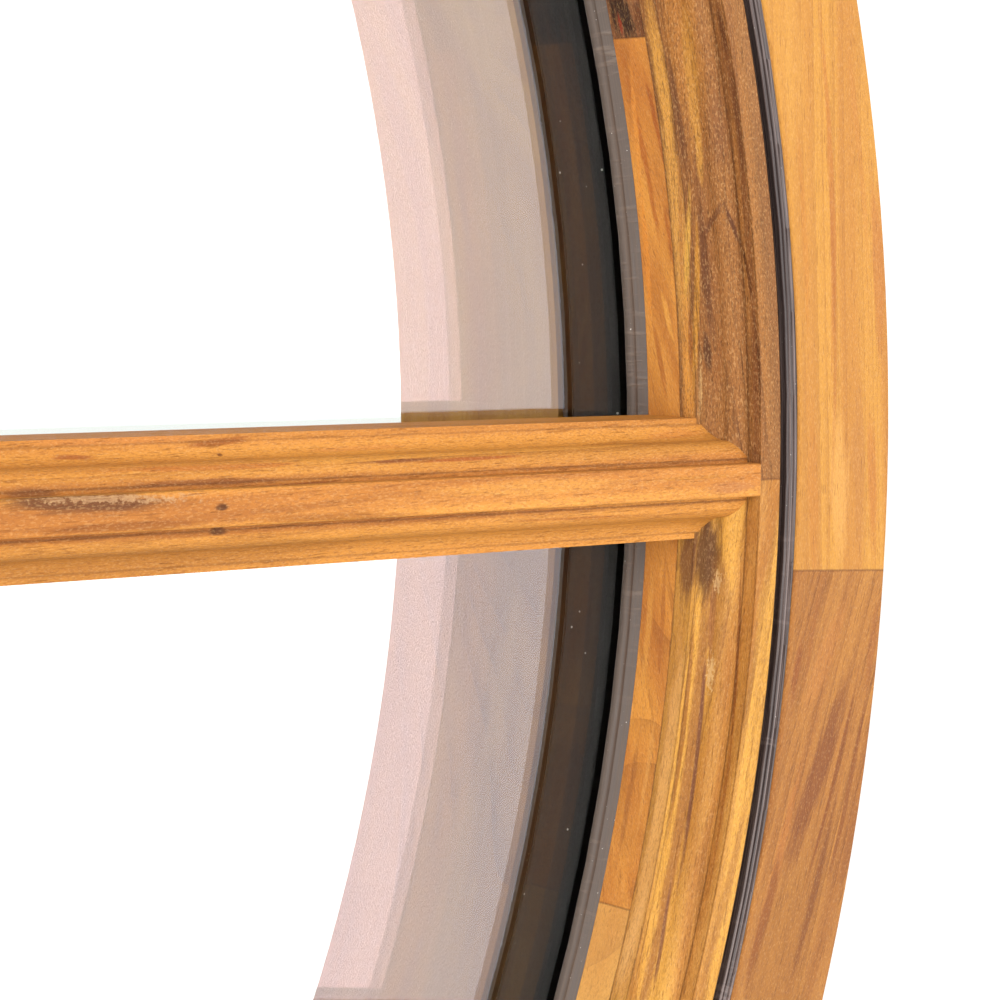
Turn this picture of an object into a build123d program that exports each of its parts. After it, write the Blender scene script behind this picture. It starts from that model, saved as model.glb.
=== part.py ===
from build123d import *
import math
import os

# Round hardwood window with one glazing bar and a sealed double glazing unit.
# The window's axis runs along Y: Y = 0 is the frame's front face and +Y goes into the wall.
# The bar lies along X, and +Z is up. All sizes are in millimetres.

# Frame: a ring of solid segments with a rebate for the glass
outer_diameter = 800.0
frame_face_width = 27.0
frame_depth = 116.5
frame_arris = 0.8
segment_count = 12
frame_joint_angle = -3.0

# Dowels across the frame's joints
dowel_diameter = 8.0
dowel_length = 40.0
dowel_end_room = 1.0
dowel_front_depth = 30.0
dowel_rear_depth = 88.0

# Sash ring: a moulded front layer glued on a plain back layer
weather_gap = 3.5
sash_setback = 2.0
nose_width = 6.0
nose_arris = 0.6
front_layer_thickness = 15.0
back_layer_thickness = 10.0
back_layer_clearance = 0.1
front_joint_angle = 0.0
back_joint_angle = 15.0
reveal_step = 1.3

# Moulding, from the nose down to the daylight wall, the same on the ring and the bar
quirk_depth = 3.0
quirk_width = 1.1
ovolo_radius = 3.5
ogee_flat = 0.2
cove_radius = 3.3
fillet_width = 1.3

# Glazing bar with a stub tenon at each end
bar_nose_width = 7.0
tenon_length = 6.5
tenon_width = 9.0
tenon_thickness = 6.0
tenon_end_room = 0.2

# Sealed glazing unit and its bedding
glazing_seal_thickness = 6.3
pane_thickness = 4.0
pane_arris = 0.5
cavity_width = 16.0
tape_thickness = 1.5
tape_width = 12.0
tape_inset = 1.5
pane_edge_room = 5.0
block_count = 6
block_arc = 9.0
block_inset = 1.0

# Spacer between the panes
spacer_height = 6.5
spacer_corner = 1.2
butyl_thickness = 0.5
butyl_width = 5.5
butyl_inset = 0.3
sealant_inset = 0.5

# Glazing seal: a lipped rubber section held by a tongue in the sash
seal_lip_reach = 2.8
seal_lip_radius = 1.4
seal_body_width = 13.0
seal_foot_inset = 0.8
kerf_width = 2.4
kerf_depth = 4.5
kerf_side_room = 0.1
kerf_edge_distance = 5.6

# Weather seal in the gap between frame and sash
weather_seal_inset = 0.8
weather_seal_depth = 13.0
weather_base_thickness = 0.9
weather_rib_count = 3
weather_rib_slope_width = 1.5
weather_rib_slope_depth = 1.9
weather_rib_rise = 0.25
weather_fin_depths = (6.0, 9.5)
weather_fin_base = 1.6
weather_fin_room = 0.1

# Radii worked out from the sizes above
outer_radius = outer_diameter / 2
rebate_radius = outer_radius - frame_face_width
sash_outer_radius = rebate_radius - weather_gap
nose_inner_radius = sash_outer_radius - nose_width
moulding_width = quirk_width + ovolo_radius + cove_radius + fillet_width
wall_radius = nose_inner_radius - moulding_width
reveal_radius = wall_radius - reveal_step
back_layer_radius = rebate_radius - back_layer_clearance
pane_radius = rebate_radius - pane_edge_room
spacer_inner_radius = reveal_radius
spacer_outer_radius = spacer_inner_radius + spacer_height
kerf_outer_radius = pane_radius - kerf_edge_distance + kerf_width

# Depths worked out from the sizes above, counted from the frame's front face
quirk_floor = sash_setback + quirk_depth
cove_floor = quirk_floor + ovolo_radius + ogee_flat + cove_radius
glue_line = sash_setback + front_layer_thickness
sash_back = glue_line + back_layer_thickness
front_pane_face = sash_back + glazing_seal_thickness
cavity_front = front_pane_face + pane_thickness
cavity_back = cavity_front + cavity_width
rear_pane_back = cavity_back + pane_thickness
rebate_depth = rear_pane_back + tape_thickness
bar_half_width = bar_nose_width / 2 + moulding_width

segment_arc = 360.0 / segment_count
window_axis = Axis((0, 0, 0), (0, -1, 0))
half_diagonal = math.sqrt(0.5)


def radial_plane(angle):
    """Return the plane through the axis at an angle: X is radius, Y is depth."""
    turn = math.radians(angle)
    outward = (math.cos(turn), 0, math.sin(turn))
    onward = (-math.sin(turn), 0, math.cos(turn))
    return Plane(origin=(0, 0, 0), x_dir=outward, z_dir=onward)


def moulding_curve(edge, side):
    """Draw the moulding from the nose's edge to the wall, towards side (+1 or -1)."""
    ovolo_start = edge + side * quirk_width
    ovolo_end = ovolo_start + side * ovolo_radius
    cove_end = ovolo_end + side * cove_radius
    wall = cove_end + side * fillet_width
    ovolo_floor = quirk_floor + ovolo_radius
    cove_start = ovolo_floor + ogee_flat
    ovolo_middle = (
        ovolo_start + side * ovolo_radius * half_diagonal,
        ovolo_floor - ovolo_radius * half_diagonal,
    )
    cove_middle = (
        cove_end - side * cove_radius * half_diagonal,
        cove_start + cove_radius * half_diagonal,
    )
    Polyline((edge, sash_setback), (edge, quirk_floor), (ovolo_start, quirk_floor))
    ThreePointArc((ovolo_start, quirk_floor), ovolo_middle, (ovolo_end, ovolo_floor))
    Line((ovolo_end, ovolo_floor), (ovolo_end, cove_start))
    ThreePointArc((ovolo_end, cove_start), cove_middle, (cove_end, cove_floor))
    Line((cove_end, cove_floor), (wall, cove_floor))


def frame_section():
    """Draw the frame's section: a thick stop behind and a thin lip in front of the rebate."""
    with BuildLine() as outline:
        Polyline(
            (outer_radius, 0),
            (outer_radius, frame_depth),
            (reveal_radius, frame_depth),
            (reveal_radius, rebate_depth),
            (rebate_radius, rebate_depth),
            (rebate_radius, 0),
            close=True,
        )
    return outline.edges()


def front_layer_section():
    """Draw the sash ring's front layer, with the nose and the moulding."""
    with BuildLine() as outline:
        moulding_curve(nose_inner_radius, -1)
        Polyline(
            (wall_radius, cove_floor),
            (wall_radius, glue_line),
            (sash_outer_radius, glue_line),
            (sash_outer_radius, sash_setback),
            (nose_inner_radius, sash_setback),
        )
    return outline.edges()


def back_layer_section():
    """Draw the sash ring's back layer, which fills the rebate and holds the seal's tongue."""
    kerf_inner_radius = kerf_outer_radius - kerf_width
    with BuildLine() as outline:
        Polyline(
            (wall_radius, glue_line),
            (wall_radius, sash_back),
            (kerf_inner_radius, sash_back),
            (kerf_inner_radius, sash_back - kerf_depth),
            (kerf_outer_radius, sash_back - kerf_depth),
            (kerf_outer_radius, sash_back),
            (back_layer_radius, sash_back),
            (back_layer_radius, glue_line),
            close=True,
        )
    return outline.edges()


def daylight_section():
    """Draw half of the space inside the sash ring, which the bar's ends are cut to."""
    with BuildLine() as outline:
        moulding_curve(nose_inner_radius, -1)
        Polyline(
            (wall_radius, cove_floor),
            (wall_radius, sash_back),
            (0, sash_back),
            (0, sash_setback),
            (nose_inner_radius, sash_setback),
        )
    return outline.edges()


def bar_section():
    """Draw the bar's section, the same moulding on both sides of a narrow nose."""
    half_nose = bar_nose_width / 2
    with BuildLine() as outline:
        moulding_curve(half_nose, 1)
        moulding_curve(-half_nose, -1)
        Line((-half_nose, sash_setback), (half_nose, sash_setback))
        Polyline(
            (bar_half_width, cove_floor),
            (bar_half_width, sash_back),
            (-bar_half_width, sash_back),
            (-bar_half_width, cove_floor),
        )
    return outline.edges()


def ring_section(inner, outer, front, back):
    """Draw a plain rectangular ring section between two radii and two depths."""
    with BuildLine() as outline:
        Polyline((inner, front), (outer, front), (outer, back), (inner, back), close=True)
    return outline.edges()


def pane_section(front):
    """Draw half of a round pane with its sharp edges ground off."""
    back = front + pane_thickness
    with BuildLine() as outline:
        Polyline(
            (0, front),
            (pane_radius - pane_arris, front),
            (pane_radius, front + pane_arris),
            (pane_radius, back - pane_arris),
            (pane_radius - pane_arris, back),
            (0, back),
            close=True,
        )
    return outline.edges()


def spacer_section():
    """Draw the spacer bar, with its two inner corners cut back."""
    front = cavity_front + butyl_thickness
    back = cavity_back - butyl_thickness
    inner = spacer_inner_radius
    with BuildLine() as outline:
        Polyline(
            (inner, front + spacer_corner),
            (inner + spacer_corner, front),
            (spacer_outer_radius, front),
            (spacer_outer_radius, back),
            (inner + spacer_corner, back),
            (inner, back - spacer_corner),
            close=True,
        )
    return outline.edges()


def glazing_seal_section():
    """Draw the glazing seal: a tongue, a flat body, and a rounded lip over the glass."""
    outer = wall_radius + seal_body_width
    tongue_outer = kerf_outer_radius - kerf_side_room
    tongue_inner = kerf_outer_radius - kerf_width + kerf_side_room
    tongue_front = sash_back - kerf_depth + kerf_side_room
    lip_centre = (wall_radius - seal_lip_reach + seal_lip_radius, sash_back + glazing_seal_thickness / 2)
    lip_front = (lip_centre[0], lip_centre[1] - seal_lip_radius)
    lip_tip = (lip_centre[0] - seal_lip_radius, lip_centre[1])
    lip_back = (lip_centre[0], lip_centre[1] + seal_lip_radius)
    foot = (wall_radius + seal_foot_inset, front_pane_face)
    with BuildLine() as outline:
        Polyline(
            foot,
            (outer, front_pane_face),
            (outer, sash_back),
            (tongue_outer, sash_back),
            (tongue_outer, tongue_front),
            (tongue_inner, tongue_front),
            (tongue_inner, sash_back),
            (wall_radius, sash_back),
            lip_front,
        )
        ThreePointArc(lip_front, lip_tip, lip_back)
        Line(lip_back, foot)
    return outline.edges()


def weather_seal_section():
    """Draw the weather seal: a base on the frame, a ribbed front and two thin fins."""
    base_face = rebate_radius - weather_base_thickness
    fin_tip = sash_outer_radius + weather_fin_room
    end = weather_seal_inset + weather_seal_depth
    slope_end = weather_seal_inset + weather_rib_slope_depth
    step_radius = -weather_rib_slope_width / weather_rib_count
    step_depth = weather_rib_slope_depth / weather_rib_count
    slope_length = math.hypot(step_radius, step_depth)
    with BuildLine() as outline:
        for rib in range(weather_rib_count):
            start = (rebate_radius + rib * step_radius, weather_seal_inset + rib * step_depth)
            stop = (start[0] + step_radius, start[1] + step_depth)
            crest = (
                (start[0] + stop[0]) / 2 - weather_rib_rise * step_depth / slope_length,
                (start[1] + stop[1]) / 2 + weather_rib_rise * step_radius / slope_length,
            )
            ThreePointArc(start, crest, stop)
        last = (rebate_radius - weather_rib_slope_width, slope_end)
        comb = [last, (base_face, slope_end + weather_rib_slope_width)]
        for fin in weather_fin_depths:
            comb += [(base_face, fin), (fin_tip, fin + weather_fin_base), (base_face, fin + weather_fin_base)]
        comb += [(base_face, end), (rebate_radius, end), (rebate_radius, weather_seal_inset)]
        Polyline(*comb)
    return outline.edges()


def save(piece, name):
    """Label a finished piece and write it as one STEP file."""
    piece.label = name
    export_step(piece, f"parts/{name}.step")


os.makedirs("parts", exist_ok=True)

stop_middle_radius = (outer_radius + reveal_radius) / 2
lip_middle_radius = (outer_radius + rebate_radius) / 2
dowel_places = ((lip_middle_radius, dowel_front_depth), (stop_middle_radius, dowel_rear_depth))

# Frame segments, each with its dowel holes and softened visible edges
for index in range(segment_count):
    start_angle = frame_joint_angle + index * segment_arc
    with BuildPart() as frame_segment:
        with BuildSketch(radial_plane(start_angle)) as section:
            make_face(frame_section())
            inner_corners = section.vertices().filter_by(lambda corner: corner.X < outer_radius - 1)
            inner_corners = inner_corners.sort_by(Axis.Y)
            fillet([inner_corners[0], inner_corners[-1]], radius=frame_arris)
        revolve(axis=window_axis, revolution_arc=segment_arc)
        for end_angle in (start_angle, start_angle + segment_arc):
            with BuildSketch(radial_plane(end_angle)):
                with Locations(*dowel_places):
                    Circle(dowel_diameter / 2)
            extrude(amount=dowel_length / 2 + dowel_end_room, both=True, mode=Mode.SUBTRACT)
    save(frame_segment.part, f"frame_segment_{index + 1:02d}")

# Dowels, two across each joint of the frame
with BuildPart() as frame_dowels:
    for index in range(segment_count):
        with BuildSketch(radial_plane(frame_joint_angle + index * segment_arc)):
            with Locations(*dowel_places):
                Circle(dowel_diameter / 2)
        extrude(amount=dowel_length / 2, both=True)
save(frame_dowels.part, "frame_dowels")

# Moulded front layer of the sash ring
for index in range(segment_count):
    with BuildPart() as front_segment:
        with BuildSketch(radial_plane(front_joint_angle + index * segment_arc)) as section:
            make_face(front_layer_section())
            nose_corners = section.vertices().filter_by(lambda corner: corner.Y < sash_setback + 0.1)
            fillet(nose_corners.sort_by(Axis.X)[-1], radius=nose_arris)
        revolve(axis=window_axis, revolution_arc=segment_arc)
    save(front_segment.part, f"sash_front_segment_{index + 1:02d}")

# Plain back layer of the sash ring, with its joints halfway along the front layer's segments
tenon_middle_depth = glue_line + back_layer_thickness / 2
mortise_length = tenon_length + tenon_end_room
for index in range(segment_count):
    with BuildPart() as back_segment:
        with BuildSketch(radial_plane(back_joint_angle + index * segment_arc)):
            make_face(back_layer_section())
        revolve(axis=window_axis, revolution_arc=segment_arc)
        for side in (-1, 1):
            with Locations((side * wall_radius, tenon_middle_depth, 0)):
                Box(2 * mortise_length, tenon_thickness, tenon_width, mode=Mode.SUBTRACT)
    save(back_segment.part, f"sash_back_segment_{index + 1:02d}")

# Glazing bar, coped over the ring's moulding and tenoned into its back layer
with BuildPart() as glazing_bar:
    with BuildSketch(Plane(origin=(sash_outer_radius, 0, 0), x_dir=(0, 0, 1), z_dir=(-1, 0, 0))) as section:
        make_face(bar_section())
        nose_corners = section.vertices().filter_by(lambda corner: corner.Y < sash_setback + 0.1)
        fillet(nose_corners, radius=nose_arris)
    extrude(amount=2 * sash_outer_radius)
    with BuildSketch(Plane.XY):
        make_face(daylight_section())
    revolve(axis=window_axis, mode=Mode.INTERSECT)
    for side in (-1, 1):
        with Locations((side * wall_radius, tenon_middle_depth, 0)):
            Box(2 * tenon_length, tenon_thickness, tenon_width)
save(glazing_bar.part, "glazing_bar")

# Two panes of glass
for name, front in (("front_pane", front_pane_face), ("rear_pane", cavity_back)):
    with BuildPart() as pane:
        with BuildSketch(Plane.XY):
            make_face(pane_section(front))
        revolve(axis=window_axis)
    save(pane.part, name)

# Spacer between the panes, with its butyl beads and the outer edge sealant
with BuildPart() as spacer:
    with BuildSketch(Plane.XY):
        make_face(spacer_section())
    revolve(axis=window_axis)
save(spacer.part, "spacer")

butyl_inner = spacer_inner_radius + spacer_corner - butyl_inset
sealant_radius = pane_radius - sealant_inset
unit_rings = (
    ("butyl_front", butyl_inner, butyl_inner + butyl_width, cavity_front, cavity_front + butyl_thickness),
    ("butyl_rear", butyl_inner, butyl_inner + butyl_width, cavity_back - butyl_thickness, cavity_back),
    ("edge_sealant", spacer_outer_radius, sealant_radius, cavity_front, cavity_back),
)
for name, inner, outer, front, back in unit_rings:
    with BuildPart() as unit_ring:
        with BuildSketch(Plane.XY):
            make_face(ring_section(inner, outer, front, back))
        revolve(axis=window_axis)
    save(unit_ring.part, name)

# Bedding tape between the rear pane and the frame's stop
tape_inner = reveal_radius + tape_inset
with BuildPart() as rear_tape:
    with BuildSketch(Plane.XY):
        make_face(ring_section(tape_inner, tape_inner + tape_width, rear_pane_back, rebate_depth))
    revolve(axis=window_axis)
save(rear_tape.part, "rear_glazing_tape")

# Lipped seal between the sash ring and the front pane
with BuildPart() as glazing_seal:
    with BuildSketch(Plane.XY):
        make_face(glazing_seal_section())
    revolve(axis=window_axis)
save(glazing_seal.part, "glazing_seal")

# Ribbed seal in the gap between frame and sash
with BuildPart() as weather_seal:
    with BuildSketch(Plane.XY):
        make_face(weather_seal_section())
    revolve(axis=window_axis)
save(weather_seal.part, "weather_seal")

# Blocks that carry and centre the glazing unit in the rebate
block_front = front_pane_face + block_inset
block_back = rear_pane_back - block_inset
with BuildPart() as setting_blocks:
    for index in range(block_count):
        angle = index * 360.0 / block_count
        with BuildSketch(radial_plane(angle - block_arc / 2)):
            make_face(ring_section(pane_radius, rebate_radius, block_front, block_back))
        revolve(axis=window_axis, revolution_arc=block_arc)
save(setting_blocks.part, "setting_blocks")
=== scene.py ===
"""Dress the round teak window, and set it on a plain pale floor in soft studio light."""

import logging
import math
import random
from dataclasses import dataclass, replace
from enum import Enum

import bpy
from mathutils import Matrix, Vector

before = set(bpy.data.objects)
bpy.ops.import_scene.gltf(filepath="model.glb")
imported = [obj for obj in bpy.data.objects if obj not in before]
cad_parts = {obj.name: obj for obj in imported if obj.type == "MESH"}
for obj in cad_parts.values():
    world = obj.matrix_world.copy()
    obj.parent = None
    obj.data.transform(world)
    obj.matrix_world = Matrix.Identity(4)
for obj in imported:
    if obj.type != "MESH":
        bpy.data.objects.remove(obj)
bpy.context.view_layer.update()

logging.basicConfig(level=logging.INFO, format="%(message)s")
log = logging.getLogger("round_window")

# A millimetre in metres
MM = 0.001

# Arc of a ring's segment, in degrees
SEGMENT_ARC = 30.0

# Radius on which distances along the rings are measured, in millimetres
CURVE_RADIUS = 365.0

# Depth of the moulding's nose behind the frame's front, in millimetres
NOSE_DEPTH = 2.0

# Noise values between which a finish gets rougher
ROUGH_FROM = (0.3, 0.7)

# A node's output, and what a node's input takes
Socket = bpy.types.NodeSocket
Value = Socket | float | tuple


def linear(code: str) -> tuple:
    """Turn an sRGB hex colour into linear red, green, blue and alpha.

    Args:
        code: The colour as six hex digits after a hash mark.

    Returns:
        Four numbers from 0 to 1, of which alpha is 1.
    """
    channels = [int(code[start:start + 2], 16) / 255 for start in (1, 3, 5)]
    curved = [c / 12.92 if c <= 0.04045 else ((c + 0.055) / 1.055) ** 2.4 for c in channels]
    return (*curved, 1.0)


def add_node(
    tree: bpy.types.NodeTree, kind: str, inputs: dict | None = None, **settings: str
) -> bpy.types.Node:
    """Add one node with its settings, values and links.

    Args:
        tree: The node tree that gets the node.
        kind: The node's type without the ShaderNode prefix.
        inputs: Values or sockets, by input name or number.
        **settings: The node's own properties.

    Returns:
        The new node.
    """
    node = tree.nodes.new("ShaderNode" + kind)
    for name, value in settings.items():
        setattr(node, name, value)
    for name, value in (inputs or {}).items():
        if isinstance(value, Socket):
            tree.links.new(value, node.inputs[name])
        else:
            node.inputs[name].default_value = value
    return node


@dataclass
class Recipe:
    """A material's node tree while it is being written.

    Attributes:
        material: The material.
        tree: Its node tree.
        shader: Its only surface shader.
    """

    material: bpy.types.Material
    tree: bpy.types.NodeTree
    shader: bpy.types.Node

    # Shares of a pattern's shift along each axis, unequal so that patterns don't line up
    SHIFTS = (1.0, 1.7, 0.6)

    @classmethod
    def begin(cls, name: str, **values: float | tuple) -> "Recipe":
        """Start a material with one Principled shader.

        Args:
            name: The material's name.
            **values: Constants for the shader's sockets, with underscores for spaces.

        Returns:
            The recipe.
        """
        material = bpy.data.materials.new(name)
        material.use_nodes = True
        tree = material.node_tree
        tree.nodes.clear()
        shader = add_node(tree, "BsdfPrincipled")
        for key, value in values.items():
            shader.inputs[key.replace("_", " ")].default_value = value
        output = add_node(tree, "OutputMaterial")
        tree.links.new(shader.outputs["BSDF"], output.inputs["Surface"])
        return cls(material, tree, shader)

    def math(self, operation: str, first: Value, second: Value = 0.0, third: Value = 0.0) -> Socket:
        """Return the result of a Math node on up to three numbers."""
        inputs = {0: first, 1: second, 2: third}
        return add_node(self.tree, "Math", inputs, operation=operation).outputs[0]

    def fade(
        self, value: Socket, start: float, stop: float, low: float = 0.0, high: float = 1.0
    ) -> Socket:
        """Return value mapped smoothly from start..stop to low..high, and held beyond them."""
        inputs = {"Value": value, "From Min": start, "From Max": stop, "To Min": low, "To Max": high}
        return add_node(self.tree, "MapRange", inputs, interpolation_type="SMOOTHSTEP").outputs[0]

    def stretch(self, vector: Socket, sizes: tuple, shift: float = 0.0) -> Socket:
        """Return millimetre coordinates divided by a pattern's size along each axis.

        Args:
            vector: Coordinates in millimetres.
            sizes: The pattern's size along each axis, in millimetres.
            shift: An offset that makes one pattern differ from the next.

        Returns:
            The pattern's own coordinates.
        """
        inputs = {
            "Vector": vector,
            "Location": tuple(shift * share for share in self.SHIFTS),
            "Scale": tuple(1 / size for size in sizes),
        }
        return add_node(self.tree, "Mapping", inputs).outputs[0]

    def noise(self, vector: Socket, detail: float = 2.0, rough: float = 0.5, twist: float = 0.0) -> Socket:
        """Return soft random values near 0.5 at a pattern's own coordinates."""
        inputs = {"Vector": vector, "Scale": 1.0, "Detail": detail, "Roughness": rough, "Distortion": twist}
        return add_node(self.tree, "TexNoise", inputs).outputs[0]

    def mix(self, share: Value, under: Value, over: Value) -> Socket:
        """Return the colour under mixed with the colour over by share."""
        # By name, the Mix node's first sockets would be meant, which are for single numbers
        inputs = {0: share, 6: under, 7: over}
        return add_node(self.tree, "Mix", inputs, data_type="RGBA").outputs[2]

    def bump(self, height: Socket, distance_mm: float) -> None:
        """Give the shader small relief from a height from 0 to 1, distance_mm deep."""
        node = add_node(self.tree, "Bump", {"Distance": distance_mm * MM, "Height": height})
        self.tree.links.new(node.outputs[0], self.shader.inputs["Normal"])

    def colour(self, value: Socket) -> None:
        """Give the shader its base colour."""
        self.tree.links.new(value, self.shader.inputs["Base Color"])

    def roughness(self, value: Socket) -> None:
        """Give the shader its roughness."""
        self.tree.links.new(value, self.shader.inputs["Roughness"])

    def place(self) -> Socket:
        """Return the point's place in the window, in millimetres."""
        inputs = {0: add_node(self.tree, "TexCoord").outputs["Object"], "Scale": 1 / MM}
        return add_node(self.tree, "VectorMath", inputs, operation="SCALE").outputs[0]

    def round_place(self) -> Socket:
        """Find the point's place in the ring's own terms.

        Returns:
            Its place along the ring's curve, outwards and in depth, in millimetres.
        """
        right, depth, up = add_node(self.tree, "SeparateXYZ", {0: self.place()}).outputs
        along = self.math("MULTIPLY", self.math("ARCTAN2", up, right), CURVE_RADIUS)
        squares = [self.math("MULTIPLY", part, part) for part in (right, up)]
        radius = self.math("SQRT", self.math("ADD", *squares))
        return add_node(self.tree, "CombineXYZ", {0: along, 1: radius, 2: depth}).outputs[0]


@dataclass(frozen=True)
class Streak:
    """A patch of another colour in the wood, long with the grain and narrow across it.

    Attributes:
        along: Its middle along the board, in millimetres from where the glazing bar's line crosses a ring,
            or from the window's middle on the bar.
        across: Its middle across the moulding's unrolled face, in millimetres.
        slope: Its turn from the board's length towards outwards, in degrees.
        half_length: Half its length, in millimetres.
        half_width: Half its width, in millimetres.
        colour: The wood's own colour there, as sRGB hex.
        strength: Its share at the middle, from 0 to 1.
        ragged: How much the grain breaks up its edge.
        crumbly: Whether it breaks up into crumbs instead of along the grain.
    """

    along: float
    across: float
    slope: float
    half_length: float
    half_width: float
    colour: str
    strength: float = 0.8
    ragged: float = 0.5
    crumbly: bool = False


class Profile(Enum):
    """How a moulding runs, which sets what its distances are measured from."""

    RING = "from the ring's centre"
    BAR = "from the bar's middle"


@dataclass(frozen=True)
class Crease:
    """A thin broken dark line along a moulding: painted shade where it lies in a corner, and a dark joint
    where it lies on a glue line.

    Attributes:
        out: Its distance from the ring's centre or the bar's middle, in millimetres.
        depth: Its distance behind the frame's front, in millimetres.
        half_width: Half the line's width, in millimetres.
        strength: Its share, from 0 to 1.
        colour: Its colour, as sRGB hex.
    """

    out: float
    depth: float
    half_width: float = 0.4
    strength: float = 0.75
    colour: str = "#4A2810"


class Figure(Enum):
    """How the board was cut from the log, which sets how its growth rings show.

    Each holds the log's middle: its distance across the grain and in depth, in millimetres.
    """

    STRAIGHT = (220.0, 40.0)
    ARCHED = (26.0, 14.0)
    LIVELY = (60.0, 10.0)


@dataclass(frozen=True)
class Teak:
    """Teak, planed and oiled with a clear satin stain.

    Planing lifts short fibres, drawn as a fine fuzz of painted highlights and painted shade. The growth
    rings are brown stripes, and the open pores are dark dashes along the grain.

    Attributes:
        pale: Colour of the early wood.
        warm: Colour of the stripes.
        dark: Colour of the ring lines, veins, pores and the painted shade between lifted fibres.
        faded: Colour of its bleached patches.
        name: The material's name, which a ring gives each of its boards.
        grain: Direction of the grain, in degrees from +X towards +Z.
        tilt: Slope of the grain into the depth, in degrees.
        seed: Number that makes this board's pattern its own.
        figure: How the board was cut.
        stripes: Strength of the broad stripes.
        lines: Strength of the fine ring lines.
        veins: Strength of the long dark veins.
        fuzz: Strength of the lifted fibres: their painted highlights, painted shade and relief.
        streaks: Patches of another colour.
        ends: Angles of the board's two glued ends, in degrees.
        creases: Dark lines along its moulding: painted shade in its corners, and glue lines.
        profile: How its moulding runs.
    """

    pale: str
    warm: str
    dark: str
    faded: str = "#C29A66"
    name: str = "teak"
    grain: float = 90.0
    tilt: float = 0.0
    seed: float = 0.0
    figure: Figure = Figure.STRAIGHT
    stripes: float = 0.6
    lines: float = 0.45
    veins: float = 0.35
    fuzz: float = 0.5
    streaks: tuple[Streak, ...] = ()
    ends: tuple[float, ...] = ()
    creases: tuple[Crease, ...] = ()
    profile: Profile = Profile.RING

    # Sheen, refraction and range of roughness of wood under a satin stain
    SHEEN = 0.18
    IOR = 1.5
    ROUGHNESS = (0.45, 0.65)

    # Real sizes of teak's features along, into and across the grain, in millimetres. Lifted fibres and
    # their glints are finer in the real wood, and are drawn as coarse as they need to show.
    STRIPE = (260.0, 9.0, 9.0)
    WANDER = (240.0, 55.0, 40.0)
    VEIN = (90.0, 2.6, 2.6)
    PORE = (5.0, 0.35, 0.35)
    FIBRE = (0.9, 0.3, 0.3)
    GLINT = (0.8, 0.32, 0.32)
    MOTTLE = (55.0, 8.0, 9.0)
    EDGE = (14.0, 1.2, 1.2)

    # Size of the crumbs in a crumbly streak, along and across the board's face, in millimetres
    CRUMB = (0.9, 0.7, 1.0)

    # Width of a year's growth, of a good or bad spell, and of the broad bands, in millimetres
    YEAR = 3.4
    SPELL = 2.2 * YEAR
    BAND = 7.0

    # Share of the broad bands in the wood's tone, of which the long stripes have the rest
    BAND_SHARE = 0.6

    # How far the rings wander and the log's middle moves, in millimetres, how many years a spell shifts
    # the rings, how far they lean for each millimetre of length, how sharply a year darkens to its end,
    # and how far a board's seed moves its bands
    WANDER_REACH = 9.0
    LOG_REACH = 7.0
    SPELL_SHIFT = 2.4
    LEAN = 0.012
    LATE_WOOD = 3.0
    BAND_SHIFT = 3.1

    # Noise values between which each feature comes in
    STRIPES_FROM = (0.4, 0.62)
    BLEACH_FROM = (0.48, 0.7)
    LINES_FROM = (0.62, 0.36)
    VEINS_FROM = (0.58, 0.7)
    PORES_FROM = (0.6, 0.72)
    GLINTS_FROM = (0.52, 0.68)
    SHADE_FROM = (0.52, 0.34)

    # Least share of the ring lines, and largest shares of bleach and pores
    LEAST_LINES = 0.1
    BLEACH = 0.3
    PORES = 0.45

    # Shares of a streak's half size between which it fades, and half widths at which a crease ends
    STREAK_EDGE = (0.4, 1.0)
    CREASE_END = 2.2

    # A glue line's colour and share, and from where to where it fades, in millimetres from its middle
    GLUE = "#5A3014"
    GLUE_SHARE = 0.55
    GLUE_EDGE = (0.1, 0.35)

    # Colour of the painted highlights on lifted fibres, and the fibres' painted highlight, painted shade
    # and
    # relief in millimetres: what every board has, and what full fuzz adds to it
    PAINTED_GLINT_COLOUR = "#E6B87C"
    PAINTED_GLINT_SHARE = (0.05, 0.15)
    PAINTED_FIBRE_SHADE = (0.12, 0.4)
    RELIEF = (0.12, 0.25)

    # Heights of fibres, and depths of pores and ring lines, as shares of the relief
    FIBRE_HEIGHT = 0.8
    PORE_DEPTH = 0.6
    LINE_DEPTH = 0.3

    def build(self) -> bpy.types.Material:
        """Write the material.

        Returns:
            The material.
        """
        recipe = Recipe.begin(self.name, Specular_IOR_Level=self.SHEEN, IOR=self.IOR)
        place = recipe.place()
        turned = {"Vector": place, "Rotation": (0.0, math.radians(self.grain), math.radians(-self.tilt))}
        grain = add_node(recipe.tree, "Mapping", turned).outputs[0]
        colour, relief = self._growth(recipe, grain)
        edge = recipe.noise(recipe.stretch(grain, self.EDGE, self.seed + 6.0), 3.0, 0.6)
        along, out, depth, across = self._section(recipe, place)
        face = add_node(recipe.tree, "CombineXYZ", {0: along, 1: across}).outputs[0]
        crumbs = recipe.noise(recipe.stretch(face, self.CRUMB, self.seed + 3.0), 2.0, 0.6)
        for streak in self.streaks:
            breaks = crumbs if streak.crumbly else edge
            colour = self._streak(recipe, face, breaks, streak, colour)
        colour = self._seams(recipe, (along, out, depth), edge, colour)
        self._surface(recipe, grain, colour, relief)
        return recipe.material

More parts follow.
